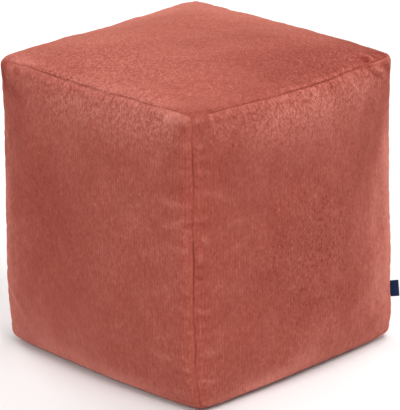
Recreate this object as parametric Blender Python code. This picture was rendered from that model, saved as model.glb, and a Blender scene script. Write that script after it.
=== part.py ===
"""Cube pouf: a filled cloth cube sewn from six panels, with a folded tape tab.

Run with: blender --background --python part.py
Units are metres, +Z is up. The pouf stands on its bottom panel, with the origin
on the floor under the middle of its box. The +X and -Y sides meet at the front
edge; the tab is caught in the upright seam where the +X and +Y sides meet.
"""
import math

import bmesh
import bpy
from mathutils import Matrix, Vector

# Driving dimensions of the cube, measured between its seams
WIDTH = 0.380
HEIGHT = 0.416

# How the filling rounds the sewn edges (radius of the cloth as it turns each edge)
SIDE_ROLL = 0.014
TOP_ROLL = 0.0135
FOOT_ROLL = 0.014
ROLL_BLEND = 0.15          # part of the half height in which the upright roll becomes the other

# How far the filling swells the panels, mostly over a reach from their seams
SIDE_CROWN = 0.0170
TOP_CROWN = 0.0110
CROWN_REACH = 0.045

# Seams drawn in as channels
SEAM_DEPTH = 0.0016
SEAM_REACH = 0.0045

# Slump: the lower third is fuller, the upper part a little slimmer, the foot tucked in
BELLY_OUT = 0.0014
BELLY_HEIGHT = 0.125
BELLY_SPREAD = 0.055
WAIST_IN = 0.0010
WAIST_HEIGHT = 0.300
WAIST_SPREAD = 0.065
TUCK_IN = 0.0011
TUCK_HEIGHT = 0.050

# The bottom seams bow out between the corners, and the bottom corners lift
FOOT_BOW = 0.0050
FOOT_BOW_TOP = -0.1        # height, as a part of the half height, where the bow ends
CORNER_LIFT = 0.0026
CORNER_LIFT_TOP = -0.6
CORNER_START = 0.75        # part of the half width past which a corner begins

# Sag of the top seams: side axis, side sign, sag in the middle, lean of the sag
TOP_SAG = (
    # axis sign  sag     lean
    (1, -1, 0.0044, -0.20),
    (0, 1, 0.0096, 0.06),
    (1, 1, 0.0006, 0.0),
    (0, -1, 0.0016, 0.0),
)
TOP_SAG_START = 0.4

# Small shifts of the eight corners, as the cube sits a little out of true
CORNER_SHIFT = (
    # x   y   z    shift in x, y and z
    (-1, -1, -1, (-0.0002, 0.0013, 0.0)),
    (1, -1, -1, (0.0006, 0.0004, 0.0)),
    (1, 1, -1, (0.0019, 0.0005, 0.0)),
    (-1, -1, 1, (0.0007, 0.0009, 0.0001)),
    (1, -1, 1, (-0.0008, -0.0007, 0.0003)),
    (1, 1, 1, (-0.0001, -0.0003, -0.0004)),
    (-1, 1, 1, (-0.0021, -0.0021, 0.0001)),
)

# The front upright seam wanders sideways: left at mid height, right at the foot
DRIFT_LEFT = 0.0018
DRIFT_LEFT_HEIGHT = 0.155
DRIFT_LEFT_SPREAD = 0.090
DRIFT_RIGHT = 0.0050
DRIFT_RIGHT_HEIGHT = 0.045
DRIFT_REACH = 0.070

# Rows of faces between a seam and the middle of a panel, closer together by the seam
PANEL_STEPS = 13
STEP_POWER = 1.8

# Folded tape tab
TAB_OUT = 0.0125           # how far it stands out of the seam
TAB_HEIGHT = 0.022
TAB_MIDDLE = 0.0712        # height of its middle above the floor
TAB_TILT = math.radians(4.0)
TAB_ROOT_THICKNESS = 0.0007
TAB_FOLD_THICKNESS = 0.0015
TAB_GAP = 0.0005           # clear of the bottom of the seam channel
TAB_FOLD_STEPS = 6
TAB_SIDE_STEPS = 4
TAB_ROWS = 6
TAB_CURL = 0.0006          # its outer end bends this far to one side

CORD_COLOUR = (0.413, 0.107, 0.078, 1.0)
TAPE_COLOUR = (0.013, 0.023, 0.089, 1.0)


def smooth(x):
    """Smooth step: 0 up to x = 0, 1 from x = 1."""
    x = min(max(x, 0.0), 1.0)
    return x * x * (3.0 - 2.0 * x)


def hump(x, middle, spread):
    """Bell curve of height 1."""
    return math.exp(-(((x - middle) / spread) ** 2))


def crown_fall(s, half):
    """Swell across a panel of half width half: near 1 in its middle, 0 at its seams."""
    return 1.0 - math.exp(-half * (1.0 - abs(s)) / CROWN_REACH)


def clear_scene():
    for obj in list(bpy.data.objects):
        bpy.data.objects.remove(obj, do_unlink=True)


def rolled_point(cube, half):
    """A point of the sewn box: flat panels, rolled edges and seam channels."""
    flat = [cube[axis] * half[axis] for axis in range(3)]
    end_roll = TOP_ROLL if cube[2] > 0.0 else FOOT_ROLL
    blend = smooth((abs(cube[2]) - (1.0 - ROLL_BLEND)) / ROLL_BLEND)
    roll = SIDE_ROLL + (end_roll - SIDE_ROLL) * blend

    centre = [min(max(flat[axis], roll - half[axis]), half[axis] - roll) for axis in range(3)]
    outward = Vector([flat[axis] - centre[axis] for axis in range(3)]).normalized()

    from_edges = sorted(half[axis] - abs(flat[axis]) for axis in range(3))
    from_seam = from_edges[1]
    channel = SEAM_DEPTH * smooth(1.0 - from_seam / SEAM_REACH)
    return Vector(centre) + outward * (roll - channel)


def panel_crown(cube, half):
    """Outward swell of whichever panel the point is on; the bottom panel lies flat."""
    u, v, w = cube
    fall = [crown_fall(cube[axis], half[axis]) for axis in range(3)]
    crown = Vector((0.0, 0.0, 0.0))
    if abs(u) == 1.0:
        crown.x = u * SIDE_CROWN * fall[1] * fall[2]
    if abs(v) == 1.0:
        crown.y = v * SIDE_CROWN * fall[0] * fall[2]
    if w == 1.0:
        crown.z = TOP_CROWN * fall[0] * fall[1]
    return crown


def foot_bow(cube):
    """Outward bow of the bottom seams between the corners."""
    u, v, w = cube
    low = smooth((FOOT_BOW_TOP - w) / (1.0 + FOOT_BOW_TOP))
    near_x = smooth((abs(u) - 0.5) / 0.5) * (1.0 - v * v)
    near_y = smooth((abs(v) - 0.5) / 0.5) * (1.0 - u * u)
    bow_x = math.copysign(FOOT_BOW * low * near_x, u)
    bow_y = math.copysign(FOOT_BOW * low * near_y, v)
    return Vector((bow_x, bow_y, 0.0))


def top_sag(cube):
    """How far the top seams and the cloth beside them sink."""
    high = smooth((cube[2] - TOP_SAG_START) / (1.0 - TOP_SAG_START))
    sag = 0.0
    for axis, sign, depth, lean in TOP_SAG:
        along = cube[1 - axis]
        near = smooth((sign * cube[axis] - 0.2) / 0.8)
        sag += depth * high * near * (1.0 - along * along) * (1.0 + lean * along)
    return sag


def corner_lift(cube):
    """How far the bottom corners lift off the floor."""
    low = smooth((CORNER_LIFT_TOP - cube[2]) / (1.0 + CORNER_LIFT_TOP))
    across = [smooth((abs(c) - CORNER_START) / (1.0 - CORNER_START)) for c in cube[:2]]
    return CORNER_LIFT * low * across[0] * across[1]


def slump(height):
    """Outward shift of the sides at a height: belly, waist and tucked foot."""
    belly = BELLY_OUT * hump(height, BELLY_HEIGHT, BELLY_SPREAD)
    waist = WAIST_IN * hump(height, WAIST_HEIGHT, WAIST_SPREAD)
    tuck = TUCK_IN * smooth((TUCK_HEIGHT - height) / TUCK_HEIGHT)
    return belly - waist - tuck


def corner_shift(cube):
    """The eight corner shifts, blended over the whole cube."""
    shift = Vector((0.0, 0.0, 0.0))
    for x, y, z, move in CORNER_SHIFT:
        share = (1.0 + x * cube[0]) * (1.0 + y * cube[1]) * (1.0 + z * cube[2]) / 8.0
        shift += Vector(move) * share
    return shift


def seam_drift(cube, half, height):
    """Sideways wander of the front upright seam."""
    left = DRIFT_LEFT * hump(height, DRIFT_LEFT_HEIGHT, DRIFT_LEFT_SPREAD)
    right = DRIFT_RIGHT * smooth((DRIFT_RIGHT_HEIGHT - height) / DRIFT_RIGHT_HEIGHT)
    from_seam = half[0] * ((1.0 - cube[0]) + (1.0 + cube[1]))
    near = math.exp(-((from_seam / DRIFT_REACH) ** 2))
    return Vector((1.0, 1.0, 0.0)).normalized() * (right - left) * near


def skin_point(cube):
    """The pouf's surface over a point of the cube from -1 to 1, foot at height 0."""
    half = (WIDTH / 2.0, WIDTH / 2.0, HEIGHT / 2.0)
    point = rolled_point(cube, half) + panel_crown(cube, half) + foot_bow(cube)
    point.z += corner_lift(cube) - top_sag(cube)
    height = point.z + half[2]
    grow = 1.0 + slump(height) / half[0]
    point.x *= grow
    point.y *= grow
    point += corner_shift(cube)
    point += seam_drift(cube, half, height)
    point.z += half[2]
    return point


def panel_stations():
    """Cube coordinates of the rows across a panel, from -1 to 1."""
    ends = [1.0 - (step / PANEL_STEPS) ** STEP_POWER for step in range(PANEL_STEPS)]
    return [-c for c in ends] + [0.0] + list(reversed(ends))


def cube_mesh():
    """A closed grid over the six panels, shaped by skin_point."""
    stations = panel_stations()
    last = len(stations) - 1
    mesh = bmesh.new()
    made = {}

    def corner(i, j, k):
        if (i, j, k) not in made:
            cube = (stations[i], stations[j], stations[k])
            made[i, j, k] = mesh.verts.new(skin_point(cube))
        return made[i, j, k]

    for axis in range(3):
        for end in (0, last):
            for a in range(last):
                for b in range(last):
                    ring = []
                    for da, db in ((0, 0), (1, 0), (1, 1), (0, 1)):
                        index = [0, 0, 0]
                        index[axis] = end
                        index[(axis + 1) % 3] = a + da
                        index[(axis + 2) % 3] = b + db
                        ring.append(corner(*index))
                    if end == 0:
                        ring.reverse()
                    mesh.faces.new(ring)
    bmesh.ops.triangulate(mesh, faces=mesh.faces[:])
    return mesh


def box_middle(mesh):
    """Middle of the mesh's box in plan, at floor level."""
    low = [min(v.co[axis] for v in mesh.verts) for axis in range(2)]
    high = [max(v.co[axis] for v in mesh.verts) for axis in range(2)]
    return Vector(((low[0] + high[0]) / 2.0, (low[1] + high[1]) / 2.0, 0.0))


def tab_outline():
    """The folded tape in plan: distance out of the seam, and offset to its side."""
    fold = TAB_FOLD_THICKNESS / 2.0
    root = TAB_ROOT_THICKNESS / 2.0
    straight = TAB_OUT - fold
    side = []
    for step in range(TAB_SIDE_STEPS):
        share = step / TAB_SIDE_STEPS
        side.append((straight * share, root + (fold - root) * smooth(share)))
    arc = []
    for step in range(TAB_FOLD_STEPS + 1):
        turn = math.pi * (0.5 - step / TAB_FOLD_STEPS)
        arc.append((straight + fold * math.cos(turn), fold * math.sin(turn)))
    back = [(out, -offset) for out, offset in reversed(side)]
    return side + arc + back


def tab_mesh():
    """The tab, standing out along X from the origin, its middle at height 0."""
    outline = tab_outline()
    mesh = bmesh.new()
    rows = []
    for row in range(TAB_ROWS + 1):
        height = TAB_HEIGHT * (row / TAB_ROWS - 0.5)
        ring = []
        for out, offset in outline:
            curl = TAB_CURL * (out / TAB_OUT) ** 2 * math.cos(math.pi * height / TAB_HEIGHT)
            ring.append(mesh.verts.new((out, offset + curl, height)))
        rows.append(ring)
    count = len(outline)
    for lower, upper in zip(rows, rows[1:]):
        for i in range(count):
            j = (i + 1) % count
            mesh.faces.new((lower[j], lower[i], upper[i], upper[j]))
    mesh.faces.new(rows[0])
    mesh.faces.new(list(reversed(rows[-1])))
    bmesh.ops.triangulate(mesh, faces=mesh.faces[:])
    bmesh.ops.recalc_face_normals(mesh, faces=mesh.faces[:])
    return mesh


def cloth_material(name, colour, roughness):
    material = bpy.data.materials.new(name)
    material.use_nodes = True
    shader = material.node_tree.nodes["Principled BSDF"]
    shader.inputs["Base Color"].default_value = colour
    shader.inputs["Roughness"].default_value = roughness
    shader.inputs["Metallic"].default_value = 0.0
    material.diffuse_color = colour
    return material


def add_object(name, mesh, material, matrix):
    data = bpy.data.meshes.new(name)
    mesh.to_mesh(data)
    mesh.free()
    data.shade_smooth()
    data.set_sharp_from_angle(angle=math.radians(50.0))
    data.materials.append(material)
    obj = bpy.data.objects.new(name, data)
    obj.matrix_world = matrix
    bpy.context.scene.collection.objects.link(obj)
    return obj


def add_pouf():
    mesh = cube_mesh()
    middle = box_middle(mesh)
    bmesh.ops.translate(mesh, verts=mesh.verts[:], vec=-middle)
    cord = cloth_material("fine_rib_cord", CORD_COLOUR, 0.9)
    add_object("pouf_body", mesh, cord, Matrix.Identity(4))
    return middle


def add_tab(middle):
    """The tab stands out of the +X +Y seam, along the diagonal between the sides."""
    diagonal = Vector((1.0, 1.0, 0.0)).normalized()
    seam = skin_point((1.0, 1.0, 2.0 * TAB_MIDDLE / HEIGHT - 1.0)) - middle
    root = seam + diagonal * (TAB_GAP + TAB_HEIGHT / 2.0 * math.sin(TAB_TILT))
    turn = Matrix.Rotation(math.radians(45.0), 4, "Z") @ Matrix.Rotation(-TAB_TILT, 4, "Y")
    tape = cloth_material("woven_tape", TAPE_COLOUR, 0.7)
    add_object("label_tab", tab_mesh(), tape, Matrix.Translation(root) @ turn)


def main():
    clear_scene()
    middle = add_pouf()
    add_tab(middle)


main()
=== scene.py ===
import math

import bpy
import numpy as np
from mathutils import Matrix, Vector


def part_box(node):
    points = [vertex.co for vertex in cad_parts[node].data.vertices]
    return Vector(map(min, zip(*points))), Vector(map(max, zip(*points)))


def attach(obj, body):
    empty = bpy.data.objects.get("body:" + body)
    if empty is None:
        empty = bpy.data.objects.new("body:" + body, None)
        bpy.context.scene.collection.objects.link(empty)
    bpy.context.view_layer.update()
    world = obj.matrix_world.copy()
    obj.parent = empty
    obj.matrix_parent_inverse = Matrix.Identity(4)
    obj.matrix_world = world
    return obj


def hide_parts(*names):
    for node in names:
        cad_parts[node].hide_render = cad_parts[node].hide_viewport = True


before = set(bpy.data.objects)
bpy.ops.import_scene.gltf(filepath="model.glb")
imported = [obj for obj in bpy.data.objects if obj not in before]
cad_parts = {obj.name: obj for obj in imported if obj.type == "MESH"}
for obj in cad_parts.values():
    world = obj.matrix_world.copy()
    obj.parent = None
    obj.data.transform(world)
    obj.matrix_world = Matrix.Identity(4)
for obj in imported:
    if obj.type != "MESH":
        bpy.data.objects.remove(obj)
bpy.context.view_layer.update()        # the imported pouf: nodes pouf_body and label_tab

# A filled cube sewn from six panels of brushed fine-rib cord, with a folded tape tab in one
# upright seam. +Z is up. The -Y side (front) and the +X side (right) meet at the front upright
# seam, and the tab is in the seam of the +X and +Y sides. Sizes and places are in metres, apart
# from tables that say millimetres.

# The sewn cube, as in the part's source
WIDTH = 0.380              # between its upright seams
HEIGHT = 0.416             # between its top and bottom seams
HALF = (WIDTH / 2.0, WIDTH / 2.0, HEIGHT / 2.0)
SIDE_ROLL = 0.014          # radius of the cloth as it turns an upright edge, the top and the foot
TOP_ROLL = 0.0135
FOOT_ROLL = 0.014
ROLL_BLEND = 0.15          # part of the half height in which the upright roll becomes the other
SIDE_CROWN, TOP_CROWN = 0.0170, 0.0110
CROWN_REACH = 0.045        # the filling swells each panel most over this reach from its seams
BELLY_OUT, BELLY_HEIGHT, BELLY_SPREAD = 0.0014, 0.125, 0.055
WAIST_IN, WAIST_HEIGHT, WAIST_SPREAD = 0.0010, 0.300, 0.065
TUCK_IN, TUCK_HEIGHT = 0.0011, 0.050
FOOT_BOW, FOOT_BOW_TOP = 0.0050, -0.1
CORNER_LIFT, CORNER_LIFT_TOP, CORNER_START = 0.0026, -0.6, 0.75
SEAM_START = 0.5           # part of the half width past which the cloth follows its foot seam
TOP_SAG = (
    # axis sign  sag     lean
    (1, -1, 0.0044, -0.20),
    (0, 1, 0.0096, 0.06),
    (1, 1, 0.0006, 0.0),
    (0, -1, 0.0016, 0.0),
)
TOP_SAG_START = 0.4        # part of the half height where the sag starts
TOP_SAG_IN = 0.2           # part of the half width where it starts
CORNER_SHIFT = (
    # x   y   z    shift in x, y and z
    (-1, -1, -1, (-0.0002, 0.0013, 0.0)),
    (1, -1, -1, (0.0006, 0.0004, 0.0)),
    (1, 1, -1, (0.0019, 0.0005, 0.0)),
    (-1, -1, 1, (0.0007, 0.0009, 0.0001)),
    (1, -1, 1, (-0.0008, -0.0007, 0.0003)),
    (1, 1, 1, (-0.0001, -0.0003, -0.0004)),
    (-1, 1, 1, (-0.0021, -0.0021, 0.0001)),
)
DRIFT_LEFT, DRIFT_LEFT_HEIGHT, DRIFT_LEFT_SPREAD = 0.0018, 0.155, 0.090
DRIFT_RIGHT, DRIFT_RIGHT_HEIGHT, DRIFT_REACH = 0.0050, 0.045, 0.070

# Small trims of the seams that the photo shows, all under 3 mm
FRONT_TRIM = (
    # the front upright seam: height, spread, shift to the right
    (0.205, 0.115, -0.0008),
    (0.360, 0.022, 0.0005),
    (0.036, 0.012, 0.0005),
)
EDGE_TRIM = (
    # the upright edge behind on the right: height, spread, outward
    (0.250, 0.075, -0.0016),
    (0.120, 0.040, -0.0008),
    (0.040, 0.030, 0.0024),
    (0.375, 0.035, 0.0016),
)
EDGE_REACH = 0.060
SEAM_TRIM = (
    # a top seam's axis and side, place along it, spread, rise
    (0, 1, -0.045, 0.030, 0.0007),
    (0, 1, 0.060, 0.060, -0.0011),
    (0, 1, 0.110, 0.045, -0.0011),
    (0, -1, 0.000, 0.085, -0.0018),
    (1, 1, -0.125, 0.040, -0.0018),
    (1, 1, 0.005, 0.025, -0.0008),
    (1, -1, -0.010, 0.035, -0.0008),
    (1, -1, 0.078, 0.030, 0.0010),
)
SEAM_TRIM_REACH = 0.050

# The six panels: outward axis, the way across and the way up the cloth
PANELS = {
    "front": ((0, -1, 0), (1, 0, 0), (0, 0, 1)),
    "right": ((1, 0, 0), (0, 1, 0), (0, 0, 1)),
    "back": ((0, 1, 0), (-1, 0, 0), (0, 0, 1)),
    "left": ((-1, 0, 0), (0, -1, 0), (0, 0, 1)),
    "top": ((0, 0, 1), (1, 0, 0), (0, 1, 0)),
    "bottom": ((0, 0, -1), (1, 0, 0), (0, -1, 0)),
}
SIDES = ("front", "right", "back", "left")
PANEL_STEPS = 280
BOTTOM_STEPS = 120
STEP_POWER = 1.25          # rows lie closer together by the seams

# Smooth random fields are sums of this many waves of each wavelength
WAVES = 14

# Seams: the two cloths turn in, side by side, tighter in some stretches than in others
SEAM_DEPTH = 0.0003
SEAM_WIDTH = 0.00055
SEAM_SHARPNESS = 1.3
SEAM_VARIES, SEAM_VARIES_OVER = 0.55, 0.055
SEAM_LEAST, SEAM_MOST = 0.25, 1.6
SEAM_PLACES = (
    # place on the cube, in metres from its middle; reach; how strong the seam is there
    ((-0.190, -0.190, 0.208), 0.034, 0.10),
    ((0.156, -0.190, 0.208), 0.052, 0.03),
    ((0.190, 0.172, 0.208), 0.024, 0.10),
    ((0.190, -0.190, 0.000), 0.170, 1.35),
    ((0.190, -0.190, 0.092), 0.026, 0.45),
    ((0.190, -0.130, 0.208), 0.060, 1.90),
    ((0.190, -0.190, 0.150), 0.026, 3.90),
    ((0.190, -0.190, -0.009), 0.010, 1.50),
    ((0.190, -0.190, -0.090), 0.050, 0.50),
    ((-0.020, -0.190, 0.208), 0.200, 0.40),
)
TUCK_ROWS = (0.0012, 0.0035)   # how much deeper each turned-in row of cloth reaches
SEAM_HOLD = 0.002          # this close to a seam both cloths are drawn in the same way

# The seam lines waver a little: wavelength and sideways reach
WANDERS = ((0.070, 0.0006), (0.028, 0.00025))
WANDER_REACH = 0.012
WANDER_SEED = 23
FLOOR_CLEAR, FLOOR_CLEAR_RISE = 0.010, 0.030     # no waver up to here, all of it this much higher

# Stitch marks beside a seam, in millimetres
STITCHES = (
    # panel  edge   from  to  spacing  offset  radius  depth
    ("right", "left", -75, 5, 4.7, 5.5, 1.3, 0.35),
    ("front", "right", 96, 150, 5.2, 5.0, 1.3, 0.22),
)

# The seam allowance lies under the top panel as a low raised band
BAND_START, BAND_END, BAND_RISE, BAND_SHOULDER = 0.0012, 0.0105, 0.0009, 0.0024
BAND_FROM_CORNER, BAND_FADE = 0.012, 0.03
BAND_WAVE, BAND_WAVE_LENGTH, BAND_WAVE_PHASE = 0.2, 0.06, 1.0

# Puckers across the seams: spacing, length into the panel, depth
PUCKERS = (
    # panel    edge     spacing  length  depth
    ("front", "right", 0.0120, 0.026, 0.00040),
    ("right", "left", 0.0120, 0.024, 0.00040),
    ("front", "left", 0.0190, 0.020, 0.00040),
    ("right", "right", 0.0190, 0.018, 0.00035),
    ("back", "left", 0.0170, 0.022, 0.00040),
    ("back", "right", 0.0160, 0.024, 0.00045),
    ("left", "left", 0.0170, 0.022, 0.00040),
    ("left", "right", 0.0180, 0.022, 0.00040),
    ("front", "top", 0.0210, 0.016, 0.00040),
    ("right", "top", 0.0160, 0.018, 0.00060),
    ("back", "top", 0.0170, 0.018, 0.00055),
    ("left", "top", 0.0180, 0.016, 0.00055),
    ("front", "bottom", 0.0220, 0.014, 0.00050),
    ("right", "bottom", 0.0230, 0.014, 0.00050),
    ("back", "bottom", 0.0220, 0.014, 0.00050),
    ("left", "bottom", 0.0230, 0.014, 0.00050),
    ("top", "bottom", 0.0210, 0.012, 0.00030),
    ("top", "right", 0.0180, 0.014, 0.00040),
    ("top", "top", 0.0190, 0.012, 0.00035),
    ("top", "left", 0.0190, 0.012, 0.00035),
)
PUCKER_SEED = 11
PUCKER_END = 0.6               # none is set out closer than this to the seam's end, in spacings
PUCKER_SCATTER = 0.18          # each is then moved by about this part of the spacing
PUCKER_SPACINGS = (0.7, 1.35)
PUCKER_SIZES = (0.45, 1.25)
PUCKER_RUNS = (0.5, 1.4)
PUCKER_WIDTHS = (0.0022, 0.0040)
PUCKER_SKEW = 0.22
PUCKER_WIDENS = 0.03           # distance from the seam at which a pucker is twice as wide
PUCKER_RIDGE = 1.9             # a ridge on each side of the hollow, in its half widths
PUCKER_RIDGES = (0.55, 0.45)
FOLD_START = 0.004             # folds are full this far from a seam

# Creases and soft folds that show in the photo, in millimetres: the middle of each,
# half its length, its slant in degrees, half its width and its height
FRONT_CREASES = (
    # across   up  length slant width height
    (172, 166, 12, -10, 3.0, 0.6),
    (180, 159, 8, -8, 2.6, 0.5),
    (144, 149, 17, 0, 4.0, 0.6),
    (176, 128, 11, -6, 3.6, 0.9),
    (160, 83, 26, -3, 5.0, 1.3),
    (161, 54, 20, 22, 4.2, 1.0),
    (155, 24, 10, -8, 3.6, 0.9),
    (176, 20, 10, 5, 3.6, 1.0),
    (172, -5, 13, -10, 4.2, 0.5),
    (147, -37, 7, -45, 3.6, 0.8),
    (173, -29, 10, -25, 4.2, 1.0),
    (172, -61, 12, 0, 4.2, 0.7),
    (140, -135, 18, 0, 4.2, 0.7),
    (176, -130, 9, 0, 4.0, 0.8),
    (175, -147, 7, -10, 3.6, 0.8),
    (164, -183, 14, 0, 4.0, 0.7),
    (117, 2, 15, 10, 4.2, 0.6),
    (92, -37, 20, 5, 6.0, 0.2),
    (150, 196, 12, 15, 6.0, 1.1),
    (175, 196, 9, 0, 5.0, 1.2),
    (-169, 98, 24, -80, 4.0, 0.9),
    (-171, 11, 24, -72, 4.0, 0.9),
    (-172, -74, 14, -54, 4.0, 1.0),
    (-162, -134, 26, -48, 5.0, 1.2),
    (-150, -60, 45, -84, 7.0, 0.8),
    (50, -199, 50, 5, 3.5, 0.9),
    (-15, -194, 13, -40, 4.0, 0.8),
    (-168, 196, 20, -45, 12.0, 1.8),
    (-158, 168, 22, -20, 11.0, -1.6),
)
RIGHT_CREASES = (
    (-178, 164, 9, -5, 3.6, 1.0),
    (-176, 146, 11, 0, 4.2, 0.8),
    (-175, 127, 10, -15, 4.0, 0.9),
    (-153, 91, 20, -25, 4.5, 0.8),
    (-178, 65, 9, 0, 3.6, 0.7),
    (-128, 49, 19, 2, 4.2, 0.9),
    (-173, 35, 10, -25, 4.0, 1.0),
    (-180, 14, 7, -10, 3.6, 0.8),
    (-127, 14, 18, 8, 4.2, 0.7),
    (-172, -14, 11, -15, 5.0, 0.4),
    (-152, -35, 8, -25, 4.0, 0.8),
    (-174, -65, 9, -25, 4.0, 0.9),
    (-156, -98, 9, -25, 4.0, 0.9),
    (-170, -122, 13, -25, 4.5, 0.9),
    (-173, -164, 14, -18, 3.4, 1.2),
    (-178, -198, 8, -20, 3.0, 0.8),
    (-182, 197, 8, 0, 5.0, 1.1),
    (162, 205, 14, 0, 2.6, 1.7),
    (148, 190, 17, -41, 2.6, -1.6),
    (154, 194, 11, -36, 2.4, 1.5),
    (139, 204, 5, 0, 3.0, -2.2),
    (172, 190, 12, -60, 4.0, -1.0),
    (60, 145, 38, 88, 13.0, 0.7),
    (150, 105, 60, 72, 13.0, -1.0),
    (172, 0, 90, 88, 12.0, 1.0),
    (-35, -190, 85, 7, 15.0, 1.2),
)
TOP_CREASES = (
    (183, 142, 5, 90, 4.0, -2.4),
    (174, 141, 5, 60, 4.0, -1.4),
    (179, 152, 8, 5, 3.0, 1.3),
    (165, 150, 22, -50, 5.0, 0.8),
)
CREASES = {"front": FRONT_CREASES, "right": RIGHT_CREASES, "top": TOP_CREASES}
CREASE_ENDS = 2.5              # power of a crease's fall along its length; a bell curve has 2

# Painted light and shade: the tone is painted lighter along the ridges of folds and darker in their hollows
# and in the seams, where light and shade fall: tone for each millimetre of height
FOLD_PAINTED_LIGHT = 0.17
SEAM_PAINTED_SHADE = 1.40

# Tone painted lighter or darker around places on the panels, in millimetres: partly how the nap is brushing,
# partly painted light and shade (lighter under the top seams, along the rims and at the feet, darker under
# the corners' overhangs), and the nap ruffled into a coarser grain there
FRONT_NAP_AND_PAINTED_LIGHT = (
    # across   up  reach across, up  tone  grain
    (40, 190, 170, 34, 0.11, 0.80),
    (50, 172, 150, 46, 0.09, 0),
    (135, 192, 50, 26, 0.08, 0.10),
    (160, 198, 26, 14, 0.22, 0),
    (110, 20, 60, 150, 0.04, 0),
    (-30, 60, 200, 90, 0, 0.06),
    (150, 152, 34, 14, -0.09, 0),
    (150, 92, 30, 12, -0.06, 0),
    (171, 171, 14, 18, -0.12, 0),
    (182, 110, 14, 60, -0.06, 0),
    (95, -36, 34, 20, -0.11, 0),
    (-60, -140, 26, 50, -0.07, 0),
    (-177, 192, 10, 16, -0.55, 0),
    (-140, 203, 20, 8, 0.16, 0),
    (-174, -50, 12, 140, 0.28, 0),
    (50, 185, 110, 26, 0.06, 0),
    (150, 205, 36, 6, 0.16, 0),
    (172, 192, 22, 18, 0, -0.40),
    (128, -42, 24, 12, 0.07, 0),
    (45, -192, 30, 10, 0.10, 0),
    (176, -50, 12, 26, -0.09, 0),
    (-24, 200, 12, 12, -0.12, 0),
    (-60, -150, 140, 60, 0, -0.35),
    (177, 188, 9, 10, -0.26, 0),
    (-168, 165, 18, 60, -0.14, 0),
    (-140, 95, 28, 75, -0.13, 0),
    (-80, -5, 62, 90, -0.18, 0),
    (-110, -165, 90, 45, 0.16, 0),
    (-100, -192, 80, 20, 0.22, 0),
    (-40, 160, 70, 50, 0.06, 0),
    (0, -165, 70, 32, 0.07, 0),
    (133, 135, 10, 14, 0.10, 0),
    (30, -196, 120, 16, 0.36, 0),
    (112, -182, 58, 36, 0.07, 0),
)
RIGHT_NAP_AND_PAINTED_LIGHT = (
    (0, 190, 170, 40, 0, 0.80),
    (10, 186, 120, 38, 0.12, 0),
    (0, 165, 58, 42, 0.18, 0.10),
    (110, 190, 48, 26, 0.14, 0),
    (-145, 186, 40, 20, 0.04, 0),
    (-138, 125, 30, 32, -0.07, 0),
    (-174, 188, 13, 10, -0.12, 0),
    (128, 95, 18, 70, -0.16, 0),
    (104, 50, 16, 32, -0.20, 0),
    (175, -20, 16, 150, 0.25, 0),
    (172, 75, 16, 40, 0.16, 0),
    (178, 165, 16, 28, -0.20, 0),
    (64, 155, 10, 38, -0.14, 0),
    (10, -28, 80, 98, -0.13, 0.50),
    (70, 25, 40, 55, -0.09, 0),
    (148, -95, 30, 70, 0.13, 0),
    (-60, -197, 95, 16, 0.21, 0),
    (0, -180, 30, 20, 0.10, 0),
    (110, -192, 50, 14, 0.11, 0),
    (-110, -200, 60, 14, 0.16, 0),
    (-174, 110, 22, 75, -0.09, 0),
    (-39, 173, 13, 13, 0.13, 0),
    (-70, 150, 28, 20, 0.06, 0),
    (-113, 161, 16, 14, -0.07, 0),
    (-150, 192, 20, 12, 0.08, 0),
    (-176, 195, 18, 16, 0, -0.30),
    (112, 172, 24, 20, 0.09, 0),
    (132, 135, 10, 14, -0.08, 0),
    (10, -105, 26, 16, -0.06, 0),
    (35, -155, 30, 14, 0.08, 0),
    (165, 196, 12, 12, -0.10, 0),
    (-119, 57, 24, 16, -0.08, 0),
    (-62, -46, 34, 20, -0.08, 0),
    (-180, -50, 14, 30, -0.09, 0),
    (-176, -12, 9, 8, -0.10, 0),
    (-21, -166, 14, 12, 0.14, 0),
    (-85, -190, 40, 14, 0.12, 0),
    (160, -140, 14, 40, 0.10, 0),
    (146, 75, 9, 20, 0.08, 0),
    (-62, 45, 40, 40, -0.08, 0),
    (5, -108, 75, 20, -0.10, 0),
    (143, 0, 12, 90, 0.15, 0),
    (152, 172, 12, 22, -0.10, 0),
    (85, 203, 40, 8, -0.04, 0),
)
TOP_NAP_AND_PAINTED_LIGHT = (
    (140, 60, 60, 120, -0.24, 0.15),
    (150, 92, 34, 60, -0.05, 0.80),
    (165, 160, 40, 30, -0.16, 0),
    (155, -12, 22, 40, -0.10, 0),
    (185, 60, 4, 110, 0.36, 0),
    (-115, 110, 55, 55, 0.14, 0),
    (175, 178, 18, 18, -0.10, 0),
    (8, -20, 44, 22, -0.07, 0),
    (168, -80, 24, 55, -0.12, 0),
    (-62, -172, 40, 22, -0.18, 0),
    (20, -160, 70, 16, 0.10, 0),
    (132, -186, 32, 8, 0.15, 0),
    (130, 178, 60, 16, -0.25, 0),
    (-150, -120, 36, 40, -0.10, 0),
    (-175, 95, 26, 110, 0.34, 0),
    (-90, 168, 90, 30, 0.18, 0),
    (-20, -186, 130, 5, 0.14, 0),
    (20, 80, 240, 100, -0.15, 0),
    (40, 100, 80, 60, -0.06, 0),
    (172, -166, 28, 28, -0.22, 0),
    (-10, -183, 150, 14, 0.26, 0.20),
    (100, -178, 50, 16, 0.08, 0.20),
    (-146, -186, 26, 16, 0.36, 0),
    (-40, -110, 130, 60, 0.05, 0.50),
    (0, 0, 230, 230, -0.02, 0.25),
)
NAP_AND_PAINTED_LIGHT = {"front": FRONT_NAP_AND_PAINTED_LIGHT, "right": RIGHT_NAP_AND_PAINTED_LIGHT, "top": TOP_NAP_AND_PAINTED_LIGHT}
GRAIN_LEAST = -0.4             # below 0 the nap is smoother than on plain cloth
SAME_CLOTH = {"back": "front", "left": "right"}     # the sides behind get the same creases, nap, and painted light and shade

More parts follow.
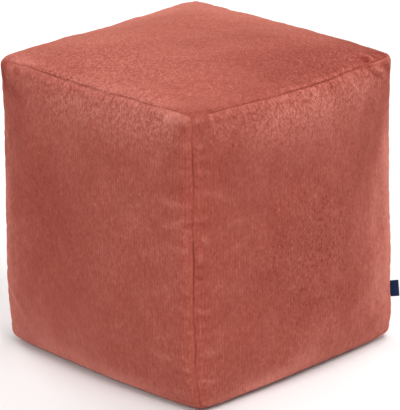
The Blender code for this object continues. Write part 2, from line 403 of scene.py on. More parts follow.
# Slow unevenness of the filling under the cloth: wavelength and height
SWELLS = ((0.150, 0.0010), (0.070, 0.00055), (0.032, 0.00022), (0.016, 0.00005))
TOP_SWELL = 0.5                # share of it on the top panel
SWELL_SEED = 5
SWELL_FADE = 0.040             # it is full this far from a seam

# Cord cloth: fine ribs, of which every third row stands out a little
RIB_PITCH = 0.00155
RIB_RELIEF = 0.00035
RIB_ROUND = 0.8
# Painted shade: the tone is darker in the grooves between the ribs and lighter on their tops
RIB_MIDDLE, RIB_PAINTED_SHADE = 0.6, 0.05
RIB_WAVER, RIBS_WAVER_EACH = 0.0016, 45.0      # sideways reach, and how many to a metre
RIBS_IN_ROW = 3
ROW_TONE = 0.040
ROWS_SHOW_EACH = 30.0          # how many places to a metre where they show more

# How the nap lies on the sides and on the top. turn is its way, in degrees. Clumps, marks, flecks
# and streaks are given by how many go to a metre, across that way and along it. share is how many
# broad patches go along it for one across it. contrast multiplies all tones but those patches'.
SIDE_LIE = dict(
    turn=0.0, clumps=(170.0, 95.0), marks=(400.0, 200.0), flecks=(620.0, 760.0), streaks=(460.0, 38.0),
    share=1.0, contrast=1.0
)
TOP_LIE = dict(
    turn=45.0, clumps=(110.0, 130.0), marks=(230.0, 310.0), flecks=(380.0, 520.0), streaks=(240.0, 60.0),
    share=0.4, contrast=1.15
)
NAP_PATTERNS = (
    # pattern  swirls detail roughness  tone that ruffling adds, tone of smooth nap
    ("clumps", True, 1.0, 0.5, 0.38, 0.42),
    ("marks", True, 1.5, 0.6, 1.35, 0.62),
    ("flecks", False, 1.0, 0.6, 1.35, 0.26),
    ("streaks", False, 1.0, 0.5, 0.10, 0.18),
)
WIDE_SWIRLS = (30.0, 0.016, 0.003)         # how many to a metre, reach that ruffling adds, plain reach
CLOSE_SWIRLS = (120.0, 0.0040, 0.0012)
BROAD_NAP = dict(scale=22.0, detail=3.5, rough=0.68)
BROAD_TONE = 0.44
MIDDLE_TONE = 0.5
MARK_RELIEF = (1.6, 0.8)                   # what ruffling adds, and of smooth nap, as shares of a rib
FLECK_RELIEF = 0.6
FIBRES, FIBRE_RELIEF = 1800.0, 0.30
BUMP_STRENGTH = 0.6
CORD_ROUGHNESS = 0.86
CORD_SPECULAR = 0.25
# Painted sheen: the lighter stops are paler and less red, as a sheen makes lit cloth look
CORD_COLOURS = (
    # tone  colour
    (0.00, (0.215, 0.022, 0.011, 1.0)),
    (0.50, (0.357, 0.074, 0.050, 1.0)),
    (1.00, (0.535, 0.162, 0.123, 1.0)),
    (1.50, (0.710, 0.290, 0.238, 1.0)),
)
SHEEN_WEIGHT = 0.42
SHEEN_ROUGHNESS = 0.38
SHEEN_TINT = (1.0, 0.40, 0.29, 1.0)

# Tape tab: two layers that part a little between the seam and the fold
TAB_WAY = Vector((1.0, 1.0, 0.0)).normalized()       # out of its seam
TAB_ASIDE = Vector((1.0, -1.0, 0.0)).normalized()
TAB_LAYER = 0.00042
TAB_SPREAD = 0.00055
TAB_SPREAD_AT_ROOT = 0.35      # share of the spread where the tab leaves the seam
TAB_OPENS = 1.3                # the layers are fully apart at 1 / 1.3 of the way out
TAB_TILT = math.radians(4.0)
TAB_TALLER = 0.0006            # than its node, whose tilt the tape follows
TAB_SHORTER = 0.0003
TAB_SETBACK = 0.0008
TAB_CURL = 0.0005              # the outer end bends to one side
TAB_WAVE, TAB_WAVE_UP, TAB_WAVE_OUT = 0.00012, 7.0, 3.0
TAB_WAIST = 0.012
TAB_ROWS = 28
TAB_STEPS = 40
TAB_FOLD_STEPS = 8
TAB_SHARP = math.radians(40.0)     # edges of the tape that turn more than this stay crisp
TAPE_TWILL, TAPE_PICK = 0.0006, 0.00042
TAPE_TWILL_SHARE = 0.6         # of the weave; its picks make up the rest
TAPE_RELIEF = 0.00008
TAPE_FLECKS, TAPE_FLECK_TONE = 900.0, 0.6
TAPE_ROUGHNESS = 0.65
TAPE_SPECULAR = 0.15
TAPE_COLOURS = (
    # tone  colour
    (0.1, (0.0050, 0.0125, 0.0460, 1.0)),
    (1.0, (0.0120, 0.0270, 0.0860, 1.0)),
)

# Light: broad distant lamps. Azimuth 0 is the camera's side, turning to the right; a level of 1
# from overhead would light a white floor to full white.
LAMPS = (
    # name        azimuth elevation breadth level
    ("overhead", 0, 90, 40, 0.12),
    ("key_right", 40, 60, 25, 0.385),
    ("back_right", 140, 60, 25, 0.28),
    ("front_right", 35, 35, 25, 0.25),
    ("front_left", -40, 35, 25, 0.41),
    ("back_left", -150, 35, 25, 0.32),
    ("rim_left", -140, 10, 15, 0.18),
    ("rim_right", 132, 10, 15, 0.62),
)
WORLD_STRENGTH = 0.02
FLOOR_TONE = 0.85
FLOOR_ROUGHNESS = 0.8
FLOOR_REACH = 9.0
FLOOR_DROP = 0.0004            # it lies just under the bottom panel

# Camera, fitted to the photo's outline and seams
VIEW_AZIMUTH = math.radians(45.92)
VIEW_ELEVATION = math.radians(19.98)
VIEW_ROLL = math.radians(-0.82)
VIEW_DISTANCE = 4.111
VIEW_AIM_HEIGHT = 0.200
VIEW_SHIFT = (-0.0038, 0.0030)
LENS_IN_PIXELS = 2987.0
IMAGE_HEIGHT = 410.0           # the photo's longer side
SENSOR = 36.0


# -------------------------------- shape of the sewn cube

def smooth(x):
    """Smooth step: 0 up to x = 0, 1 from x = 1."""
    x = np.clip(x, 0.0, 1.0)
    return x * x * (3.0 - 2.0 * x)


def hump(x, middle, spread):
    """Bell curve of height 1."""
    return np.exp(-(((x - middle) / spread) ** 2))


def crown_fall(s, half):
    """Swell across a panel of half width half: near 1 in its middle, 0 at its seams."""
    return 1.0 - np.exp(-half * (1.0 - np.abs(s)) / CROWN_REACH)


def rolled_points(cube):
    """The sewn box with rolled edges, over cube points from -1 to 1."""
    half, w = np.array(HALF), cube[..., 2]
    flat = cube * half
    end_roll = np.where(w > 0.0, TOP_ROLL, FOOT_ROLL)
    blend = smooth((np.abs(w) - (1.0 - ROLL_BLEND)) / ROLL_BLEND)
    roll = (SIDE_ROLL + (end_roll - SIDE_ROLL) * blend)[..., None]
    centre = np.clip(flat, roll - half, half - roll)
    outward = flat - centre
    outward /= np.linalg.norm(outward, axis=-1, keepdims=True)
    return centre + outward * roll


def panel_crown(cube, normal):
    """Outward swell of the panel that faces normal; the bottom panel lies flat."""
    axis = int(np.argmax(np.abs(normal)))
    height = (SIDE_CROWN, SIDE_CROWN, TOP_CROWN if normal[2] > 0 else 0.0)[axis]
    for other in range(3):
        if other != axis:
            height = height * crown_fall(cube[..., other], HALF[other])
    return height[..., None] * normal


def foot_bow(cube):
    """Outward bow of the bottom seams between the corners."""
    u, v, w = cube[..., 0], cube[..., 1], cube[..., 2]
    bow = FOOT_BOW * smooth((FOOT_BOW_TOP - w) / (1.0 + FOOT_BOW_TOP))
    near_u = smooth((np.abs(u) - SEAM_START) / (1.0 - SEAM_START))
    near_v = smooth((np.abs(v) - SEAM_START) / (1.0 - SEAM_START))
    bow_x = np.sign(u) * bow * near_u * (1.0 - v * v)
    bow_y = np.sign(v) * bow * near_v * (1.0 - u * u)
    return np.stack([bow_x, bow_y, np.zeros_like(bow)], -1)


def top_sag(cube):
    """How far the top seams and the cloth beside them sink."""
    high = smooth((cube[..., 2] - TOP_SAG_START) / (1.0 - TOP_SAG_START))
    sag = 0.0
    for axis, sign, depth, lean in TOP_SAG:
        along = cube[..., 1 - axis]
        near = smooth((sign * cube[..., axis] - TOP_SAG_IN) / (1.0 - TOP_SAG_IN))
        sag = sag + depth * high * near * (1.0 - along * along) * (1.0 + lean * along)
    return sag


def top_seam_trim(cube):
    """Small rises and dips along the top seams."""
    trim = 0.0
    for axis, sign, place, spread, rise in SEAM_TRIM:
        along = cube[..., 1 - axis] * HALF[1 - axis]
        from_seam = HALF[axis] * (1.0 - sign * cube[..., axis]) + HALF[2] * (1.0 - cube[..., 2])
        trim = trim + rise * hump(along, place, spread) * hump(from_seam, 0.0, SEAM_TRIM_REACH)
    return trim


def corner_lift(cube):
    """How far the bottom corners lift off the floor."""
    low = smooth((CORNER_LIFT_TOP - cube[..., 2]) / (1.0 + CORNER_LIFT_TOP))
    corner_u = smooth((np.abs(cube[..., 0]) - CORNER_START) / (1.0 - CORNER_START))
    corner_v = smooth((np.abs(cube[..., 1]) - CORNER_START) / (1.0 - CORNER_START))
    return CORNER_LIFT * low * corner_u * corner_v


def slump(height):
    """Outward shift of the sides at a height: belly, waist and tucked foot."""
    belly = BELLY_OUT * hump(height, BELLY_HEIGHT, BELLY_SPREAD)
    waist = WAIST_IN * hump(height, WAIST_HEIGHT, WAIST_SPREAD)
    tuck = TUCK_IN * smooth((TUCK_HEIGHT - height) / TUCK_HEIGHT)
    return belly - waist - tuck


def corner_shift(cube):
    """The corner shifts, blended over the whole cube."""
    shift = 0.0
    for x, y, z, move in CORNER_SHIFT:
        share = (1.0 + x * cube[..., 0]) * (1.0 + y * cube[..., 1]) * (1.0 + z * cube[..., 2]) / 8.0
        shift = shift + share[..., None] * np.array(move)
    return shift


def seam_drift(cube, height):
    """Sideways wander of the front upright seam, more than 0 to the right."""
    left = DRIFT_LEFT * hump(height, DRIFT_LEFT_HEIGHT, DRIFT_LEFT_SPREAD)
    right = DRIFT_RIGHT * smooth((DRIFT_RIGHT_HEIGHT - height) / DRIFT_RIGHT_HEIGHT)
    trim = sum(shift * hump(height, place, spread) for place, spread, shift in FRONT_TRIM)
    from_seam = HALF[0] * ((1.0 - cube[..., 0]) + (1.0 + cube[..., 1]))
    return (right + trim - left) * hump(from_seam, 0.0, DRIFT_REACH)


def edge_trim(cube, height):
    """Small outward shifts of the upright edge behind on the right."""
    trim = sum(shift * hump(height, place, spread) for place, spread, shift in EDGE_TRIM)
    from_edge = HALF[0] * ((1.0 - cube[..., 0]) + (1.0 - cube[..., 1]))
    return trim * hump(from_edge, 0.0, EDGE_REACH)


def skin(cube, normal):
    """The smooth surface over cube points of the panel that faces normal, its foot at height 0."""
    point = rolled_points(cube) + panel_crown(cube, normal) + foot_bow(cube)
    point[..., 2] += corner_lift(cube) + top_seam_trim(cube) - top_sag(cube)
    height = point[..., 2] + HALF[2]
    point[..., :2] *= (1.0 + slump(height) / HALF[0])[..., None]
    point += corner_shift(cube)
    # These two edges both shift along the diagonal between +X and +Y
    diagonal = seam_drift(cube, height) + edge_trim(cube, height)
    point[..., :2] += diagonal[..., None] / math.sqrt(2.0)
    point[..., 2] += HALF[2]
    return point


def stations(steps):
    """Cube coordinates across a panel from -1 to 1, closer together by the seams."""
    half_steps = steps // 2
    ends = 1.0 - (np.arange(half_steps) / half_steps) ** STEP_POWER
    return np.concatenate([-ends, [0.0], ends[::-1]])


def grid_normals(points, normal):
    """Outward unit normals of a panel's grid of points."""
    across = np.gradient(points, axis=0)
    up = np.gradient(points, axis=1)
    out = np.cross(across, up)
    out /= np.linalg.norm(out, axis=-1, keepdims=True)
    facing = np.sign((out * np.array(normal, float)).sum(-1).mean())
    return out * facing


def edge_normals(cube):
    """Outward directions that the panels on both sides of a seam share."""
    half = np.array(HALF)
    flat = cube * half
    outward = flat - np.clip(flat, SIDE_ROLL - half, half - SIDE_ROLL)
    return outward / np.linalg.norm(outward, axis=-1, keepdims=True)


# -------------------------------- relief of the cloth

def edge_frames(across, up, half_across, half_up):
    """For each edge of a panel: distance from it, and place along it."""
    return {
        "left": (across + half_across, up),
        "right": (half_across - across, up),
        "bottom": (up + half_up, across),
        "top": (half_up - up, across),
    }


def plane_waves(points, bands, rng):
    """A smooth random field over the points, made of waves in all directions."""
    field = np.zeros(points.shape[:-1])
    for wavelength, height in bands:
        for _ in range(WAVES):
            way = rng.normal(size=3)
            way /= np.linalg.norm(way)
            phase = rng.uniform(0.0, 2.0 * math.pi)
            wave = np.cos(points @ way * 2.0 * math.pi / wavelength + phase)
            field += height * math.sqrt(2.0 / WAVES) * wave
    return field


def wander(points):
    """The same small shift for every panel that meets at a seam, so that the seams waver."""
    rng = np.random.default_rng(WANDER_SEED)
    return np.stack([plane_waves(points, WANDERS, rng) for _ in range(3)], -1)


def seam_strength(cube):
    """How tightly the seams are drawn in, from place to place."""
    place = cube * np.array(HALF)
    rng = np.random.default_rng(WANDER_SEED + 1)
    strength = 1.0 + SEAM_VARIES * plane_waves(place, ((SEAM_VARIES_OVER, 1.0),), rng)
    strength = np.clip(strength, SEAM_LEAST, SEAM_MOST)
    for centre, reach, share in SEAM_PLACES:
        away = np.linalg.norm(place - np.array(centre), axis=-1)
        strength = strength * (1.0 - (1.0 - share) * hump(away, 0.0, reach))
    return strength


def seam_channels(edges, strength):
    """How deep the cloth is drawn in at the seams round a panel."""
    relief = 0.0
    for distance, _ in edges.values():
        relief = relief - SEAM_DEPTH * strength * np.exp(-((distance / SEAM_WIDTH) ** SEAM_SHARPNESS))
    return relief


def stitch_marks(distance, along, start, stop, spacing, offset, radius, depth):
    """A row of small dimples beside a seam, its measures in millimetres."""
    relief = np.zeros_like(distance)
    for place in np.arange(start, stop, spacing):
        away = np.hypot(distance * 1000.0 - offset, along * 1000.0 - place)
        relief -= depth / 1000.0 * hump(away, 0.0, radius)
    return relief


def seam_band(distance, along, reach):
    """The raised seam allowance beside a seam of the top panel."""
    rise = smooth((distance - BAND_START) / BAND_SHOULDER)
    fall = smooth((BAND_END - distance) / BAND_SHOULDER)
    ends = smooth((reach - np.abs(along)) / BAND_FADE)
    wave = 1.0 - BAND_WAVE + BAND_WAVE * np.cos(along * 2.0 * math.pi / BAND_WAVE_LENGTH + BAND_WAVE_PHASE)
    return BAND_RISE * rise * fall * ends * wave


def puckers(distance, along, reach, spacing, length, depth, rng):
    """Short creases that run off a seam into the panel."""
    relief = np.zeros_like(distance)
    place = -reach + spacing
    while place < reach - spacing * PUCKER_END:
        at = place + rng.normal(0.0, spacing * PUCKER_SCATTER)
        size = rng.uniform(*PUCKER_SIZES)
        run = length * rng.uniform(*PUCKER_RUNS)
        width = rng.uniform(*PUCKER_WIDTHS)
        skew = rng.normal(0.0, PUCKER_SKEW)
        offset = (along - at - skew * distance) / (width * (1.0 + distance / PUCKER_WIDENS))
        fold = -hump(offset, 0.0, 1.0)
        fold += PUCKER_RIDGES[0] * hump(offset, PUCKER_RIDGE, 1.0)
        fold += PUCKER_RIDGES[1] * hump(offset, -PUCKER_RIDGE, 1.0)
        relief += depth * size * fold * smooth(distance / FOLD_START) * hump(distance, 0.0, run)
        place += spacing * rng.uniform(*PUCKER_SPACINGS)
    return relief


def crease(across, up, middle_across, middle_up, length, slant, width, height):
    """One crease, its measures in millimetres."""
    turn = math.radians(slant)
    over, rise = across - middle_across / 1000.0, up - middle_up / 1000.0
    along = (over * math.cos(turn) + rise * math.sin(turn)) / (length / 1000.0)
    aside = (rise * math.cos(turn) - over * math.sin(turn)) / (width / 1000.0)
    return height / 1000.0 * np.exp(-(aside ** 2) - np.abs(along) ** CREASE_ENDS)


def rows_for(table, name):
    """The rows of a table for a panel, or for the panel that it is finished like."""
    return table.get(SAME_CLOTH.get(name, name), ())


def nap_and_painted_light(name, across, up):
    """Tone of the cloth over a panel, partly its brushing and partly painted light and shade, and its grain.
    """
    tone, grain = np.zeros_like(across), np.zeros_like(across)
    for middle_across, middle_up, reach_across, reach_up, lighter, ruffled in rows_for(NAP_AND_PAINTED_LIGHT, name):
        over = (across * 1000.0 - middle_across) / reach_across
        rise = (up * 1000.0 - middle_up) / reach_up
        share = np.exp(-(over ** 2 + rise ** 2))
        tone += lighter * share
        grain += ruffled * share
    return tone, np.clip(grain, GRAIN_LEAST, 1.0)


def folds(name, across, up, half_across, half_up):
    """The puckers and creases of a panel."""
    edges = edge_frames(across, up, half_across, half_up)
    nearest = np.minimum.reduce([d for d, _ in edges.values()])
    relief = np.zeros_like(across)
    for number, (panel, edge, spacing, length, depth) in enumerate(PUCKERS):
        if panel == name:
            rng = np.random.default_rng(PUCKER_SEED + number)
            distance, along = edges[edge]
            reach = half_up if edge in ("left", "right") else half_across
            relief += puckers(distance, along, reach, spacing, length, depth, rng)
    for row in rows_for(CREASES, name):
        relief += crease(across, up, *row) * smooth(nearest / FOLD_START)
    return relief


def panel_relief(name, points, across, up, half_across, half_up):
    """Everything else that stands out of a panel's smooth skin: stitches, seam bands and slow swells."""
    edges = edge_frames(across, up, half_across, half_up)
    nearest = np.minimum.reduce([d for d, _ in edges.values()])
    relief = np.zeros_like(across)
    if name != "bottom":
        swell = plane_waves(points, SWELLS, np.random.default_rng(SWELL_SEED))
        relief += swell * smooth(nearest / SWELL_FADE) * (TOP_SWELL if name == "top" else 1.0)
    if name == "top":
        for edge, (distance, along) in edges.items():
            relief += seam_band(distance, along, half_across - BAND_FROM_CORNER)
    for panel, edge, *row in STITCHES:
        if panel == name:
            relief += stitch_marks(*edges[edge], *row)
    return relief


def panel_grid(name, middle):
    """Points of a panel with its turned-in edges, with the flat place, tone and grain of the cloth there."""
    normal, across_axis, up_axis = (np.array(a, float) for a in PANELS[name])
    c = stations(BOTTOM_STEPS if name == "bottom" else PANEL_STEPS)
    a, b = np.meshgrid(c, c, indexing="ij")
    cube = a[..., None] * across_axis + b[..., None] * up_axis + normal
    points = skin(cube, normal) - middle
    half_across = float(np.abs(across_axis) @ np.array(HALF))
    half_up = float(np.abs(up_axis) @ np.array(HALF))
    across, up = a * half_across, b * half_up
    nearest = np.minimum(half_across - np.abs(across), half_up - np.abs(up))
    clear_of_floor = smooth((points[..., 2] - FLOOR_CLEAR) / FLOOR_CLEAR_RISE)
    points += wander(points) * (clear_of_floor * hump(nearest, 0.0, WANDER_REACH))[..., None]
    hold = hump(nearest, 0.0, SEAM_HOLD)[..., None]
    normals = grid_normals(points, normal) * (1.0 - hold) + edge_normals(cube) * hold
    normals /= np.linalg.norm(normals, axis=-1, keepdims=True)
    folded = folds(name, across, up, half_across, half_up)
    drawn = seam_channels(edge_frames(across, up, half_across, half_up), seam_strength(cube))
    relief = folded + drawn + panel_relief(name, points, across, up, half_across, half_up)
    points = points + normals * relief[..., None]
    # The tone holds painted light and shade as well as the nap's brushing
    tone, grain = nap_and_painted_light(name, across, up)
    # Painted light on fold ridges, painted shade in fold hollows and in the seams
    tone += 1000.0 * (FOLD_PAINTED_LIGHT * folded + SEAM_PAINTED_SHADE * drawn)
    flat = np.stack([across, up, tone, grain], -1)

    for depth in TUCK_ROWS:
        points, normals, flat = add_tuck(points, normals, flat, depth)
    return points, flat


def add_tuck(points, normals, flat, depth):
    """One more row all round, turned in along the seam."""
    def ring(grid):
        return np.pad(grid, ((1, 1), (1, 1), (0, 0)), mode="edge")
    inner = ring(points)
    inward = ring(normals)
    edge = np.ones(inner.shape[:2], bool)
    edge[1:-1, 1:-1] = False
    inner[edge] -= inward[edge] * depth
    return inner, inward, ring(flat)


def make_panel(name, middle, material):
    """One panel of cloth, with its place on the cloth as its UV map, and as attributes its tone, painted
    light and shade among it, and its grain.
    """
    points, flat = panel_grid(name, middle)
    rows, columns = points.shape[:2]
    index = np.arange(rows * columns).reshape(rows, columns)
    quads = np.stack([index[:-1, :-1], index[1:, :-1], index[1:, 1:], index[:-1, 1:]], -1).reshape(-1, 4)
    mesh = bpy.data.meshes.new(f"panel_{name}")
    mesh.from_pydata(points.reshape(-1, 3).tolist(), [], quads.tolist())
    layer = mesh.uv_layers.new(name="cloth")
    corner = np.empty(len(mesh.loops), np.int32)
    mesh.loops.foreach_get("vertex_index", corner)
    layer.data.foreach_set("uv", flat[..., :2].reshape(-1, 2)[corner].astype(np.float32).ravel())
    for number, kind in ((2, "nap_and_painted_light_tone"), (3, "nap_grain")):
        values = mesh.attributes.new(kind, "FLOAT", "POINT")
        values.data.foreach_set("value", flat[..., number].astype(np.float32).ravel())
    mesh.shade_smooth()
    mesh.materials.append(material)
    mesh.validate()
    piece = bpy.data.objects.new(f"panel_{name}", mesh)
    bpy.context.scene.collection.objects.link(piece)
    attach(piece, "root")
    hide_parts("pouf_body")
    return piece


def skin_middle():
    """Middle of the smooth cube's box in plan, which the frame has at x = y = 0."""
    low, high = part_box("pouf_body")
    c = stations(BOTTOM_STEPS)
    a, b = np.meshgrid(c, c, indexing="ij")
    reach = []
    for name in SIDES:
        normal, across_axis, up_axis = (np.array(v, float) for v in PANELS[name])
        cube = a[..., None] * across_axis + b[..., None] * up_axis + normal
        reach.append(skin(cube, normal).reshape(-1, 3))
    reach = np.concatenate(reach)
    middle = (reach.min(0) + reach.max(0)) / 2.0
    return np.array([middle[0] - (low.x + high.x) / 2.0, middle[1] - (low.y + high.y) / 2.0, 0.0])


# -------------------------------- tape tab

def tab_loop(length):
    """The folded tape in plan, a closed loop of points: distance out of the seam, offset to its side."""
    fold = length - TAB_SPREAD
    side = []
    for step in range(TAB_STEPS + 1):
        share = step / TAB_STEPS
        opened = TAB_SPREAD_AT_ROOT + (1.0 - TAB_SPREAD_AT_ROOT) * smooth(share * TAB_OPENS)
        if length * share < fold:
            side.append((length * share, TAB_SPREAD * opened))
    bend = []
    for step in range(TAB_FOLD_STEPS + 1):
        turn = math.pi * (0.5 - step / TAB_FOLD_STEPS)
        bend.append((fold + TAB_SPREAD * math.cos(turn), TAB_SPREAD * math.sin(turn)))
    back = [(out, -offset) for out, offset in reversed(side)]
    line = np.array(side + bend + back)
    tangent = np.gradient(line, axis=0)
    tangent /= np.linalg.norm(tangent, axis=1, keepdims=True)
    sideways = np.stack([tangent[:, 1], -tangent[:, 0]], 1)
    outer = line - sideways * (TAB_LAYER / 2.0)
    inner = line + sideways * (TAB_LAYER / 2.0)
    return np.concatenate([outer, inner[::-1]])


def tab_vertices(loop, length, tall, root):
    """The loop's rows, from the tab's lower edge to its upper one; root is where it leaves the seam."""
    vertices = []
    for row in range(TAB_ROWS + 1):
        height = row / TAB_ROWS - 0.5
        for out, offset in loop:
            share = out / length
            curl = TAB_CURL * share ** 2 * math.cos(math.pi * height)
            wave = TAB_WAVE * math.sin(TAB_WAVE_UP * height + TAB_WAVE_OUT * share)
            up = height * tall * (1.0 - TAB_WAIST * math.cos(2.0 * math.pi * height))
            lean_out = out * math.cos(TAB_TILT) - up * math.sin(TAB_TILT)
            lean_up = (out - length / 2.0) * math.sin(TAB_TILT) + up * math.cos(TAB_TILT)
            place = root + TAB_WAY * lean_out - TAB_ASIDE * (offset + curl + wave)
            vertices.append(place + Vector((0.0, 0.0, lean_up)))
    return vertices


def tab_faces(count):
    """Faces round the rows of count points each, and across the two layers at both ends."""
    faces = []
    for row in range(TAB_ROWS):
        for i in range(count):
            j = (i + 1) % count
            faces.append((row * count + i, row * count + j, (row + 1) * count + j, (row + 1) * count + i))
    for base, flip in ((0, True), (TAB_ROWS * count, False)):
        for i in range(count // 2 - 1):
            quad = (base + i, base + i + 1, base + count - 2 - i, base + count - 1 - i)
            faces.append(quad[::-1] if flip else quad)
    return faces


def tab_piece(material):
    """A folded strip of woven tape that fills the place of the tab node."""
    low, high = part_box("label_tab")
    centre = (low + high) / 2.0
    outs = [(v.co - centre).dot(TAB_WAY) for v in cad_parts["label_tab"].data.vertices]
    length = max(outs) - min(outs) - TAB_SHORTER
    loop = tab_loop(length)
    root = centre + TAB_WAY * (min(outs) + TAB_SETBACK)
    vertices = tab_vertices(loop, length, high.z - low.z + TAB_TALLER, root)
    mesh = bpy.data.meshes.new("label_tape")
    mesh.from_pydata([tuple(v) for v in vertices], [], tab_faces(len(loop)))
    mesh.validate()
    mesh.shade_smooth()
    mesh.set_sharp_from_angle(angle=TAB_SHARP)
    mesh.materials.append(material)
    piece = bpy.data.objects.new("label_tape", mesh)
    bpy.context.scene.collection.objects.link(piece)
    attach(piece, "root")
    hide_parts("label_tab")
    return piece


# -------------------------------- materials

class Nodes:
    """Short calls for building a material's node tree."""

    def __init__(self, name):
        self.material = bpy.data.materials.new(name)
        self.material.use_nodes = True
        self.tree = self.material.node_tree
        self.shader = self.tree.nodes["Principled BSDF"]

    def link(self, value, socket):
        """Feed a socket from another one, or set it to a constant."""
        if isinstance(value, bpy.types.NodeSocket):
            self.tree.links.new(value, socket)
        else:
            socket.default_value = value

    def add(self, kind, **settings):
        node = self.tree.nodes.new(kind)
        for key, value in settings.items():
            setattr(node, key, value)
        return node

    def math(self, operation, a, b=0.0, c=0.0):
        """One sum of up to three numbers or sockets."""
        node = self.add("ShaderNodeMath", operation=operation)
        for value, socket in zip((a, b, c), node.inputs):
            self.link(value, socket)
        return node.outputs[0]

    def noise(self, vector, scale, detail=2.0, rough=0.5):
        """Smooth noise from 0 to 1, about a half."""
        node = self.add("ShaderNodeTexNoise")
        self.link(vector, node.inputs["Vector"])
        node.inputs["Scale"].default_value = scale
        node.inputs["Detail"].default_value = detail
        node.inputs["Roughness"].default_value = rough
        return node.outputs["Fac"]

    def centred(self, noise):
        """Noise about 0 instead of about a half."""
        return self.math("SUBTRACT", noise, 0.5)

    def vector(self, operation, a, b):
        node = self.add("ShaderNodeVectorMath", operation=operation)
        for value, socket in zip((a, b), node.inputs):
            self.link(value, socket)
        return node.outputs["Vector"]

    def shift(self, vector, scale, reach):
        """A smooth random shift of up to half the reach each way."""
        node = self.add("ShaderNodeTexNoise")
        self.link(vector, node.inputs["Vector"])
        node.inputs["Scale"].default_value = scale
        node.inputs["Detail"].default_value = 1.0
        centred = self.vector("SUBTRACT", node.outputs["Color"], (0.5, 0.5, 0.5))
        scaled = self.add("ShaderNodeVectorMath", operation="SCALE")
        self.link(centred, scaled.inputs[0])
        self.link(reach, scaled.inputs["Scale"])
        return scaled.outputs["Vector"]

    def mapped(self, vector, socket, value):
        """The vector turned or stretched by a mapping, whose socket is Rotation or Scale."""
        node = self.add("ShaderNodeMapping")
        self.link(vector, node.inputs["Vector"])
        node.inputs[socket].default_value = value
        return node.outputs["Vector"]

    def bump(self, height, distance):
        """Fine relief from a height, and the distance in metres that a height of 1 stands for."""
        node = self.add("ShaderNodeBump")
        node.inputs["Strength"].default_value = BUMP_STRENGTH
        node.inputs["Distance"].default_value = distance
        self.link(height, node.inputs["Height"])
        self.link(node.outputs["Normal"], self.shader.inputs["Normal"])

    def ramp(self, value, stops):
        """Colours by value, for stops from 0 to any highest value."""
        top = stops[-1][0]
        node = self.add("ShaderNodeValToRGB")
        self.link(self.math("DIVIDE", value, top), node.inputs["Fac"])
        ramp = node.color_ramp
        while len(ramp.elements) < len(stops):
            ramp.elements.new(0.5)
        for element, (place, colour) in zip(ramp.elements, stops):
            element.position = place / top
            element.color = colour
        return node.outputs["Color"]


def cord_ribs(n, cloth, ribs_across):
    """The ribs, from 0 between them to 1 along their tops, and the slower wave of the rows."""
    split = n.add("ShaderNodeSeparateXYZ")
    n.link(cloth, split.inputs["Vector"])
    waver = n.math("MULTIPLY", n.centred(n.noise(cloth, RIBS_WAVER_EACH)), RIB_WAVER)
    side = n.math("ADD", split.outputs[ribs_across], waver)
    turn = n.math("MULTIPLY", side, math.pi / RIB_PITCH)
    rib = n.math("POWER", n.math("ABSOLUTE", n.math("COSINE", turn)), RIB_ROUND)
    row = n.math("COSINE", n.math("MULTIPLY", turn, 2.0 / RIBS_IN_ROW))
    return rib, row


